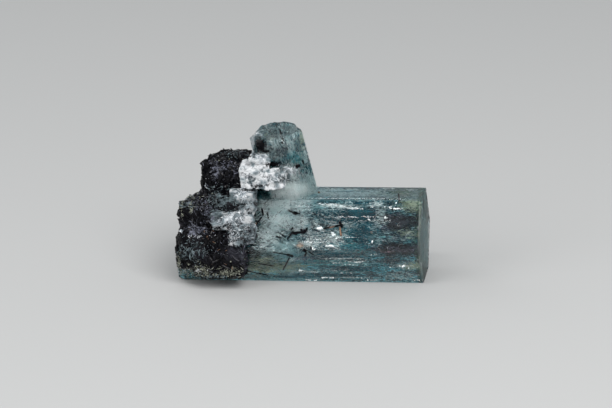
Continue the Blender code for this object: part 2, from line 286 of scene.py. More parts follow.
def crystal_material():
    """Clear beryl, frosted in patches of its faces, on its flat end and on the small crystal's top."""
    made, shader = new_material("aquamarine", (0.96, 1.0, 1.0), 0.05)
    shader.inputs["IOR"].default_value = IOR
    shader.inputs["Transmission Weight"].default_value = 1.0
    rough = mapped(made, stretched_noise(made, 700, (0.12, 1, 1), 6), FACE_SPAN, FACE_ROUGHNESS)
    foot = SIDE_FOOT.dot(SIDE_AXIS)
    for more in (roughness_along(made, X_AXIS, END_SPAN, END_ROUGHNESS),
                 roughness_along(made, SIDE_AXIS, [foot + up for up in TOP_SPAN], TOP_ROUGHNESS)):
        rough = add_node(made, "Math", links={0: rough, 1: more}, operation="MAXIMUM").outputs["Value"]
    made.node_tree.links.new(rough, shader.inputs["Roughness"])
    bump(made, shader, stretched_noise(made, 1500, (0.05, 1, 1), 3), 0.02, 0.5)
    absorption = add_node(made, "VolumeAbsorption", {"Color": (*BERYL_COLOR, 1), "Density": BERYL_DENSITY})
    output = made.node_tree.nodes["Material Output"]
    made.node_tree.links.new(absorption.outputs["Volume"], output.inputs["Volume"])
    return made


def make_materials():
    return {
        "schorl": schorl_material(),
        "needle": new_material("dark_needle", SCHORL_BLACK, 0.4, SEALED_SHINE)[0],
        "violet_glint": grained(
            "violet_glint", (0.012, 0.014, 0.02), (0.20, 0.21, 0.27), 0.25, 1500, middle=0.55),
        "rust": grained("rusty_needle", (0.06, 0.034, 0.022), (0.22, 0.12, 0.07), 0.5, 2500),
        "white": grained("bright_fleck", (0.86, 0.92, 0.92), (0.96, 0.98, 0.98), 0.25, 3000),
        "milk": grained("milky_fleck", (0.78, 0.88, 0.88), (0.93, 0.97, 0.96), 0.6, 400, (0.2, 1, 1)),
        # The dusky and deep flecks are dark flaws and partly painted shade, which darkens the clear crystal
        # most towards the flat end.
        "shade": sealed("dark_fleck_and_painted_shade", (0.015, 0.018, 0.026), (0.09, 0.10, 0.125), 0.4, 1200, LENGTHWISE),
        "deep": sealed("deep_fleck_and_painted_shade", (0.004, 0.065, 0.095), (0.018, 0.19, 0.25), 0.4, 800, LENGTHWISE),
        "violet": sealed("violet_fleck", (0.16, 0.14, 0.22), (0.36, 0.34, 0.46), 0.5, 1200),
        # The green flecks lie in patches, and under the flat end as painted shade that darkens it.
        "moss": sealed("green_fleck_and_end_shade", (0.015, 0.06, 0.042), (0.13, 0.25, 0.18), 0.5, 700),
        "straw": sealed("straw_fleck", (0.44, 0.48, 0.34), (0.70, 0.74, 0.58), 0.5, 900),
        "peach": sealed("peach_fleck", (0.60, 0.40, 0.30), (0.88, 0.70, 0.58), 0.5, 1800),
        "pink": grained("pink_fleck", (0.80, 0.42, 0.56), (0.95, 0.80, 0.86), 0.3, 2500),
        "teal": sealed("teal_fleck", (0.10, 0.42, 0.46), (0.40, 0.72, 0.76), 0.4, 900, LENGTHWISE),
        "pale": grained("pale_grain", (0.30, 0.34, 0.38), (0.80, 0.82, 0.84), 0.35, 1500),
        "haze_grain": grained("haze_grain", (0.025, 0.04, 0.045), (0.20, 0.26, 0.28), 0.3, 1300),
        "cream": grained("cream_grain", (0.05, 0.06, 0.05), (0.36, 0.37, 0.29), 0.4, 1200),
        "feldspar_block": mottled("feldspar_block", 0.9),
        "feldspar_patch": mottled("feldspar_patch", 0.0),
    }


# Places

def ray_through(px, py):
    """The way that a pixel of the photograph looks."""
    across = (px - FRAME_WIDTH / 2) / FOCAL_PX
    up = (FRAME_HEIGHT / 2 - py) / FOCAL_PX
    return (camera.matrix_world.to_3x3() @ Vector((across, up, -1))).normalized()


def tree_of(node):
    """A search tree over a solid, in millimetres."""
    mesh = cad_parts[node].data
    points = [vert.co / MM for vert in mesh.vertices]
    return BVHTree.FromPolygons(points, [tuple(face.vertices) for face in mesh.polygons])


def under_pixel(px, py, depth):
    """The place that shows at a pixel, that deep in the crystal along the bent line of sight."""
    way = ray_through(px, py)
    hit, normal, _, _ = trees["aquamarine"].ray_cast(CAMERA_PLACE, way)
    if hit is None:
        return None
    if normal.dot(way) > 0:
        normal = -normal
    cos_in = -way.dot(normal)
    cos_out = math.sqrt(1 - (1 - cos_in ** 2) / IOR ** 2)
    bent = way / IOR + (cos_in / IOR - cos_out) * normal
    return hit + bent * depth


def on_surface(px, py, nodes):
    """The place on some solids' outside that a pixel shows, with its normal, or nothing."""
    way = ray_through(px, py)
    hits = [trees[node].ray_cast(CAMERA_PLACE, way) for node in nodes]
    hits = [hit for hit in hits if hit[0] is not None]
    if not hits:
        return None, None
    place, normal, _, _ = min(hits, key=lambda hit: hit[3])
    return place, normal if normal.dot(way) < 0 else -normal


def depth_inside(point, node="aquamarine"):
    """How far a point is under a solid's nearest face, or less than 0 outside it."""
    near, normal, _, distance = trees[node].find_nearest(point)
    return distance if (point - near).dot(normal) < 0 else -distance


def clamp_inside(point, margin=0.02):
    """The point, moved to lie in the solids' box."""
    low, high = cad_box
    return Vector([min(max(point[k], low[k] / MM + margin), high[k] / MM - margin) for k in range(3)])


def smooth(low, high, value):
    """A share that goes smoothly from 0 to 1 as the value goes from low to high."""
    share = min(max((value - low) / (high - low), 0), 1)
    return share * share * (3 - 2 * share)


def surface_points(node, count, rng):
    """Points spread evenly over a solid's faces, with the faces' normals."""
    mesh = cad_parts[node].data
    weights = [face.area for face in mesh.polygons]
    picks = rng.choices(range(len(weights)), weights, k=count)
    for index in picks:
        face = mesh.polygons[index]
        a, b, c = [mesh.vertices[i].co / MM for i in face.vertices[:3]]
        u, v = rng.random(), rng.random()
        if u + v > 1:
            u, v = 1 - u, 1 - v
        yield a + (b - a) * u + (c - a) * v, face.normal.copy()


def jitter(rng, spread):
    """A vector of random length and way."""
    return Vector([rng.gauss(0, spread) for _ in range(3)])


# Meshes

class Shape:
    """Points and faces that grow into one piece."""

    def __init__(self):
        self.points = []
        self.faces = []

    def add(self, points, faces):
        base = len(self.points)
        self.points += [tuple(point) for point in points]
        self.faces += [tuple(base + i for i in face) for face in faces]

    def piece(self, name, material, slot):
        mesh = bpy.data.meshes.new(name)
        mesh.from_pydata([[c * MM for c in point] for point in self.points], [], self.faces)
        mesh.materials.append(material)
        return as_piece(name, mesh)


def as_piece(name, mesh):
    made = bpy.data.objects.new(name, mesh)
    bpy.context.scene.collection.objects.link(made)
    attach(made, "root")
    return made


def solid_bmesh(mesh):
    """A solid's mesh in millimetres, as a bmesh."""
    bm = bmesh.new()
    bm.from_mesh(mesh)
    bmesh.ops.scale(bm, vec=(1 / MM, 1 / MM, 1 / MM), verts=bm.verts)
    bm.normal_update()
    return bm


def finish_bmesh(bm, name, material, node):
    """Makes the piece that stands for a solid."""
    bmesh.ops.scale(bm, vec=(MM, MM, MM), verts=bm.verts)
    mesh = bpy.data.meshes.new(name)
    bm.to_mesh(mesh)
    bm.free()
    mesh.materials.append(material)
    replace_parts(as_piece(name, mesh), node)


def relief_piece(node, name, voxel, smoothings, relief, material):
    """A fine copy of a solid, with relief on its faces."""
    copy = bpy.data.objects.new(name + "_form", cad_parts[node].data.copy())
    bpy.context.scene.collection.objects.link(copy)
    modifier = copy.modifiers.new("remesh", "REMESH")
    modifier.mode = "VOXEL"
    modifier.voxel_size = voxel * MM
    bpy.context.view_layer.update()
    mesh = bpy.data.meshes.new_from_object(copy.evaluated_get(bpy.context.evaluated_depsgraph_get()))
    bpy.data.objects.remove(copy)
    bm = solid_bmesh(mesh)
    bpy.data.meshes.remove(mesh)
    every_way = {"use_axis_" + axis: True for axis in "xyz"}
    for _ in range(smoothings):
        bmesh.ops.smooth_vert(bm, verts=bm.verts, factor=0.5, **every_way)
    bm.normal_update()
    moves = [vert.normal * relief(vert.co) for vert in bm.verts]
    for vert, move in zip(bm.verts, moves):
        vert.co = clamp_inside(vert.co + move)
    finish_bmesh(bm, name, material, node)


def across_of(axis):
    """Two unit vectors at right angles to an axis."""
    first = axis.orthogonal().normalized()
    return first, axis.cross(first).normalized()


def add_fleck(shape, place, axis, length, width, rng):
    """A sliver with four faces: two short edges, crosswise, a length apart."""
    first, second = across_of(axis)
    turn = rng.uniform(0, math.pi)
    one = (first * math.cos(turn) + second * math.sin(turn)) * width / 2
    two = (second * math.cos(turn) - first * math.sin(turn)) * width / 2
    end = axis * length / 2
    points = (place - end - one, place - end + one, place + end - two, place + end + two)
    shape.add(points, ((0, 1, 2), (1, 0, 3), (0, 2, 3), (1, 3, 2)))


def add_needle(shape, start, end, radius, rng, sides=6, tip=0.15):
    """A straight prism from start to end, with a low point on each end."""
    axis = end - start
    length = axis.length
    axis.normalize()
    first, second = across_of(axis)
    turn = rng.uniform(0, math.tau)
    taper = min(tip * length, radius)
    rings = []
    for along in (taper, length - taper):
        for k in range(sides):
            angle = turn + math.tau * k / sides
            out = first * math.cos(angle) + second * math.sin(angle)
            rings.append(start + axis * along + out * radius)
    points = rings + [start, end]
    low, high = len(rings), len(rings) + 1
    faces = []
    for k in range(sides):
        j = (k + 1) % sides
        faces.append((k, j, sides + j, sides + k))
        faces.append((j, k, low))
        faces.append((sides + k, sides + j, high))
    shape.add(points, faces)


def add_grain(shape, place, size, rng, flat=1.0):
    """A small blocky grain: a box with skewed corners, turned at random."""
    turn = jitter(rng, 1).normalized()
    frame_of = Matrix((*across_of(turn), turn)).transposed()
    points = []
    for x in (-1, 1):
        for y in (-1, 1):
            for z in (-1, 1):
                corner = Vector((x, y, z * flat)) * size / 2
                corner += Vector([rng.uniform(-0.25, 0.25) for _ in range(3)]) * size * flat
                points.append(place + frame_of @ corner)
    shape.add(points, ((0, 1, 3, 2), (4, 6, 7, 5), (0, 4, 5, 1), (2, 3, 7, 6), (0, 2, 6, 4), (1, 5, 7, 3)))


# The crystal

# How many strips each face is cut into, and where and how often the large crystal's are cut across
STRIPS = 33
SIDE_STRIPS = 13
LEFT_END = -22.0
STATION = 2.4

# The striations' height, and over which distance from the large crystal's edges they rise
RIDGE = 0.05
EDGE_CALM = (0.1, 1.2)

# Relief of the small crystal's top, which lies over a height, and of the flat end, with its steps and how
# many cells it has each way
CAP_LOW = 24
CAP_RELIEF = 0.14
END_RELIEF = 0.08
END_STEP = 1.3
END_CELLS = 84

# What a pixel of the photograph spans at the crystal
PIXEL = 0.18


def section_point(share):
    """A point on the large crystal's outline in Y and Z, with the share running round it once."""
    side = int(share * 6) % 6
    part = share * 6 - int(share * 6)
    start, end = Vector(CORNERS[side]), Vector(CORNERS[(side + 1) % 6])
    return start.lerp(end, part)


def on_main(face):
    """True on the large crystal's long faces."""
    return abs(face.normal.x) < 0.3 and face.calc_center_median().z < 2 * MIDDLE + 0.2


def on_side(face):
    """True on the small crystal's long faces."""
    return abs(face.normal.dot(SIDE_AXIS)) < 0.2 and face.calc_center_median().z > 2 * MIDDLE


def on_end(face):
    return face.normal.x > 0.9


def cut(bm, chosen, place, normal):
    """Cuts the chosen faces along a plane."""
    faces = [face for face in bm.faces if chosen(face)]
    edges = dict.fromkeys(edge for face in faces for edge in face.edges)
    verts = dict.fromkeys(vert for face in faces for vert in face.verts)
    bmesh.ops.bisect_plane(bm, geom=[*faces, *edges, *verts], dist=1e-5, plane_co=place, plane_no=normal)


def cut_strips(bm):
    """Cuts the long faces into narrow strips, and the large crystal's strips into lengths."""
    rng = random.Random(3)
    middle = Vector((0, 0, MIDDLE))
    for k in range(3 * STRIPS):
        point = section_point((k + rng.uniform(0.15, 0.85)) / (6 * STRIPS))
        cut(bm, on_main, middle, X_AXIS.cross(Vector((0, point.x, point.y)) - middle))
    first, second = across_of(SIDE_AXIS)
    for k in range(3 * SIDE_STRIPS):
        turn = math.pi * (k + rng.uniform(0.1, 0.9)) / (3 * SIDE_STRIPS)
        cut(bm, on_side, SIDE_FOOT, SIDE_AXIS.cross(first * math.cos(turn) + second * math.sin(turn)))
    for k in range(1, int(-2 * LEFT_END / STATION)):
        cut(bm, on_main, (LEFT_END + k * STATION, 0, 0), X_AXIS)


def raise_striations(bm):
    """Moves the points within the large crystal's long faces, so that fine ridges run along them."""
    bm.normal_update()
    moves = {}
    for vert in bm.verts:
        x, y, z = vert.co
        if not -21.0 < x < 22.2 or not 0.05 < z < 2 * MIDDLE - 0.05:
            continue
        normals = {tuple(round(c, 1) for c in face.normal) for face in vert.link_faces}
        if len(normals) > 1:
            continue
        out = vert.normal
        around = y * out.z - (z - MIDDLE) * out.y
        ridge = noise.noise(Vector((x * 0.05, around * 4.1, out.y * 7)))
        fine = noise.noise(Vector((x * 0.14, around * 9.0, out.y * 7 + 3)))
        edge = min(math.hypot(y - corner[0], z - corner[1]) for corner in CORNERS)
        moves[vert] = out * RIDGE * (ridge + 0.5 * fine) * smooth(*EDGE_CALM, edge)
    for vert, move in moves.items():
        vert.co += move


def divide_ends(bm):
    """Cuts the small crystal's top and the large one's flat end into fine faces."""
    cap = [face for face in bm.faces
           if face.normal.dot(SIDE_AXIS) > 0.5 and face.calc_center_median().z > CAP_LOW]
    edges = list(dict.fromkeys(edge for face in cap for edge in face.edges))
    bmesh.ops.subdivide_edges(bm, edges=edges, cuts=5, use_grid_fill=True)
    for k in range(1, END_CELLS):
        out = 2 * k / END_CELLS - 1
        cut(bm, on_end, (0, out * HALF_WIDE, 0), (0, 1, 0))
        cut(bm, on_end, (0, 0, MIDDLE * (1 + out)), (0, 0, 1))


def roughen_ends(bm):
    """Gives the flat end low steps and dents, and the small crystal's top a broken surface."""
    bm.normal_update()
    for vert in bm.verts:
        if all(on_end(face) for face in vert.link_faces) and vert.co.x > 22:
            relief = 0.5 * noise.noise(vert.co * 1.2) + 1.5 * noise.noise(vert.co * 2.6)
            relief += END_STEP * noise.cell(Vector((3, vert.co.y * 0.5 + 9, vert.co.z * 0.09 + 4)))
            vert.co.x -= END_RELIEF * max(1.2 + relief, 0)
            continue
        if all(face.normal.dot(SIDE_AXIS) > 0.4 for face in vert.link_faces) and vert.co.z > CAP_LOW:
            relief = noise.noise(vert.co * 0.9) + 0.5 * noise.noise(vert.co * 2.6)
            vert.co -= SIDE_AXIS * CAP_RELIEF * (0.6 + relief)


def crystal_piece():
    """The solid with growth striations on its long faces, and with rough ends."""
    bm = solid_bmesh(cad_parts["aquamarine"].data)
    cut_strips(bm)
    raise_striations(bm)
    divide_ends(bm)
    bmesh.ops.triangulate(bm, faces=bm.faces)
    roughen_ends(bm)
    finish_bmesh(bm, "crystal", crystal_material(), "aquamarine")


# What is sealed in the crystal

# How deep a cloud's points lie, and what share of its tries falls how near the small crystal's axis
CLOUD_MARGIN = 0.25
SIDE_TRIES = 0.22
SIDE_TRY_REACH = 4.9


def in_side(point):
    """True in the small crystal, and just under the top face at its foot."""
    away = point - SIDE_FOOT
    return away.z > -0.3 and (away - SIDE_AXIS * away.dot(SIDE_AXIS)).length < SIDE_REACH


def milky(point):
    """How cloudy the crystal is at a point: milky by the schorl, and clearer towards the flat end."""
    if in_side(point):
        up = (point - SIDE_FOOT).dot(SIDE_AXIS)
        patch = noise.noise(point * 0.5) + 0.8 * noise.noise(point * 1.3)
        return 0.16 + 0.9 * patch + 0.9 * smooth(4.2, 1.5, up)
    x, y, z = point
    along = 1 - 0.56 * smooth(-2, 6, x) - 0.32 * smooth(10, 14, x)
    streak = noise.noise(Vector((x * 0.10, y * 0.6, z * 0.6))) + 0.7 * noise.noise(Vector((x * 0.45, y, z)))
    low = 1 - 0.45 * (1 - smooth(2, 7, z))
    return along * low * (0.36 + 1.9 * streak)


def shady(point):
    """How thick the dark flecks lie at a point: in patches, most of them near the flat end and towards the
    front. They are dark flaws and partly painted shade, which darkens the clear crystal.
    """
    if in_side(point):
        return 0.5 * smooth(-0.1, 0.4, noise.noise(point * 0.6 + Vector((4, 8, 2))))
    x, y, z = point
    patch = noise.noise(Vector((x * 0.16, y * 0.4 + 9, z * 0.4)))
    front = 0.35 + 0.65 * smooth(3, -4, y)
    return front * smooth(-0.1, 0.35, patch) * (0.10 + 0.3 * smooth(-1, 5, x) + 0.6 * smooth(8, 13, x))


def at_end(point):
    """The thin layer under the flat end, whose dark green flecks paint shade on it."""
    return 0 if in_side(point) else smooth(21.3, 21.8, point.x) * smooth(22.25, 22.0, point.x)


def by_schorl(point):
    """Where fine schorl needles are sealed in: near the mass, and in the foot of the small crystal."""
    if in_side(point):
        return smooth(24, 18, point.z) * 0.8
    return smooth(9, -8, point.x) * (0.3 + max(0, 2 * noise.noise(point * 0.35)))


def cloud_points(count, density, rng):
    """Points in the crystal, as many as asked for, thickest where the density is high."""
    points = []
    while len(points) < count:
        if rng.random() < SIDE_TRIES:
            radius = SIDE_TRY_REACH * math.sqrt(rng.random())
            turn = rng.uniform(0, math.tau)
            first, second = across_of(SIDE_AXIS)
            point = SIDE_FOOT + SIDE_AXIS * rng.uniform(-1, SIDE_LENGTH)
            point += first * radius * math.cos(turn) + second * radius * math.sin(turn)
        else:
            point = Vector((rng.uniform(-22, 22.3), rng.uniform(-8.3, 8.3), rng.uniform(0.2, 15.4)))
        if rng.random() < density(point) and depth_inside(point) > CLOUD_MARGIN:
            points.append(point)
    return points


def growth_at(point):
    """The axis of the crystal that a point is in."""
    return SIDE_AXIS if in_side(point) else X_AXIS


def add_sliver(shape, place, growth, lean, length, width, margin, rng, longest=math.inf):
    """A sliver that lies nearly along the growth axis, if both its ends are deep enough in the crystal."""
    axis = (growth + jitter(rng, lean)).normalized()
    long = min(rng.uniform(*length), longest)
    half = axis * long / 2
    if min(depth_inside(place + half), depth_inside(place - half)) > margin:
        add_fleck(shape, place, axis, long, rng.uniform(*width), rng)


# Hazes of slivers: material, how many, how dense, seed, length, width and lean off the growth axis
CLOUDS = {
    "milky_cloud": ("milk", 35000, milky, 11, (0.25, 1.1), (0.05, 0.11), 0.12),
    "shade_cloud": ("shade", 7500, shady, 12, (0.2, 0.9), (0.05, 0.12), 0.12),
    "end_shade_cloud": ("moss", 2600, at_end, 13, (0.2, 0.7), (0.08, 0.16), 2),
    "fine_needles": ("schorl", 2200, by_schorl, 14, (0.15, 0.8), (0.03, 0.07), 0.8),
}


def clouds(materials):
    for name, (kind, count, density, seed, length, width, lean) in CLOUDS.items():
        rng = random.Random(seed)
        shape = Shape()
        for point in cloud_points(count, density, rng):
            add_sliver(shape, point, growth_at(point), lean, length, width, 0.06, rng)
        shape.piece(name, materials[kind], "aquamarine")


# Dark needles in the crystal that the photograph shows: X and Y of both ends' pixels, both depths, radius
DARK_NEEDLES = (
    (261.8, 208.1, 263.4, 215.8, 0.12, 0.18, 0.2), (262.1, 216.5, 251.1, 231.9, 0.18, 0.12, 0.17),
    (252.1, 209.8, 254.4, 222.5, 0.12, 0.18, 0.14), (267.1, 211.8, 268.8, 219.8, 0.28, 0.38, 0.13),
    (288.2, 210.1, 295, 213.2, 0.14, 0.1, 0.16), (292.6, 212.6, 297.6, 213.6, 0.1, 0.1, 0.31),
    (296, 213.2, 300.4, 213.9, 0.1, 0.16, 0.14), (292.2, 233.2, 306.3, 231.9, 0.14, 0.1, 0.26),
    (291, 232, 297.6, 234.4, 0.1, 0.12, 0.29), (301.6, 233.4, 306.4, 229.8, 0.1, 0.1, 0.34),
    (286.9, 239.6, 292.9, 231.9, 0.18, 0.12, 0.17), (305, 232.6, 307.6, 227.2, 0.12, 0.18, 0.2),
    (301, 228.5, 302, 232, 0.12, 0.12, 0.23), (290.6, 230.6, 293.4, 227, 0.14, 0.22, 0.16),
    (275.5, 236, 281, 238, 0.32, 0.38, 0.17), (281.5, 234.6, 286.2, 237.6, 0.24, 0.3, 0.17),
    (272.8, 252, 293.6, 256, 0.2, 0.1, 0.18), (286, 254.6, 294, 256.2, 0.1, 0.1, 0.29),
    (289.6, 257.3, 282.9, 270.1, 0.12, 0.2, 0.16), (258.1, 263.4, 273.5, 266, 0.18, 0.24, 0.16),
    (243.3, 270.1, 268.8, 275.4, 0.1, 0.16, 0.17), (339.1, 221.2, 342.5, 227.9, 0.14, 0.1, 0.26),
    (323.1, 228.9, 330.5, 227.2, 0.16, 0.12, 0.18), (334, 226.6, 343.5, 224.6, 0.12, 0.1, 0.22),
    (303, 249.4, 306.4, 251.6, 0.1, 0.1, 0.36), (306.6, 252, 304.6, 256.8, 0.12, 0.18, 0.17),
    (308.3, 251.3, 314.3, 255.3, 0.12, 0.18, 0.18), (310.6, 246.6, 311.8, 250.6, 0.16, 0.16, 0.17),
    (398.4, 193.6, 399.2, 201.4, 0.1, 0.12, 0.16), (280, 129, 282.6, 143.6, 0.14, 0.2, 0.18),
    (278.2, 176.9, 289.7, 180.9, 0.1, 0.12, 0.16), (295.6, 166.9, 299.6, 165.2, 0.1, 0.1, 0.34),
    (302.8, 160, 303.4, 164, 0.12, 0.12, 0.18),
)
RUSTY_NEEDLES = (
    (339.8, 226.5, 341.1, 236.6, 0.1, 0.14, 0.2), (328.5, 227.8, 335, 226.4, 0.12, 0.12, 0.16),
    (257, 222.6, 253.4, 227.6, 0.14, 0.12, 0.18), (318.2, 192.8, 319.6, 192.4, 0.06, 0.06, 0.26),
)

# Bright flakes and streaks at its surface, partly painted highlights where its faces glint: pixel X and Y,
# length along the crystal and width
FLECKS_AND_PAINTED_GLINTS = (
    (327, 204.2, 3.2, 0.3), (336, 205.8, 3.6, 0.3), (347, 207.2, 3.4, 0.26), (356, 208.6, 2.6, 0.3),
    (330, 207.2, 2, 0.18), (348.4, 202.2, 1.3, 0.24), (372, 206.4, 0.8, 0.26), (378.4, 205.2, 0.8, 0.24),
    (388, 207, 1.4, 0.3), (395, 208.4, 2.2, 0.38), (400, 208.9, 1, 0.24), (396.1, 203, 0.32, 0.36),
    (369.8, 203.6, 0.34, 0.26), (375.5, 202.6, 0.3, 0.24), (385.7, 217.9, 0.46, 0.5),
    (390, 220.3, 0.34, 0.36), (368.8, 219.7, 0.34, 0.4), (372.2, 241.8, 0.36, 0.4),
    (390.7, 267.5, 0.44, 0.32), (374.7, 254.6, 1.5, 0.28), (402.5, 266.3, 1.3, 0.46),
    (409.3, 267.9, 0.5, 0.34), (417, 280.2, 2.3, 0.26), (327, 277.4, 2.6, 0.32), (356, 277.6, 2.4, 0.32),
    (354, 262, 3.4, 0.3), (300.5, 270.5, 1.2, 0.4), (338, 263, 2, 0.24), (312, 280, 2.4, 0.26),
    (372, 280, 1.8, 0.26), (345, 272.6, 2.4, 0.2), (319.6, 228.3, 0.9, 0.56), (268.4, 231.4, 0.44, 0.46),
    (273.5, 250.3, 0.34, 0.36), (278, 211.8, 0.5, 0.36), (331.8, 232.6, 0.5, 0.6),
    (333.4, 235.4, 0.5, 0.56), (336, 238.4, 0.4, 0.56), (330, 246, 1.7, 0.5), (309, 243, 0.7, 0.5),
    (313.5, 249, 0.6, 0.4), (334, 189.5, 3.4, 0.22), (352, 189.6, 2, 0.2), (388, 188.6, 2.4, 0.26),
    (407, 190, 2.4, 0.24), (338, 194.5, 2.6, 0.18), (358, 192.2, 2.2, 0.18),
)

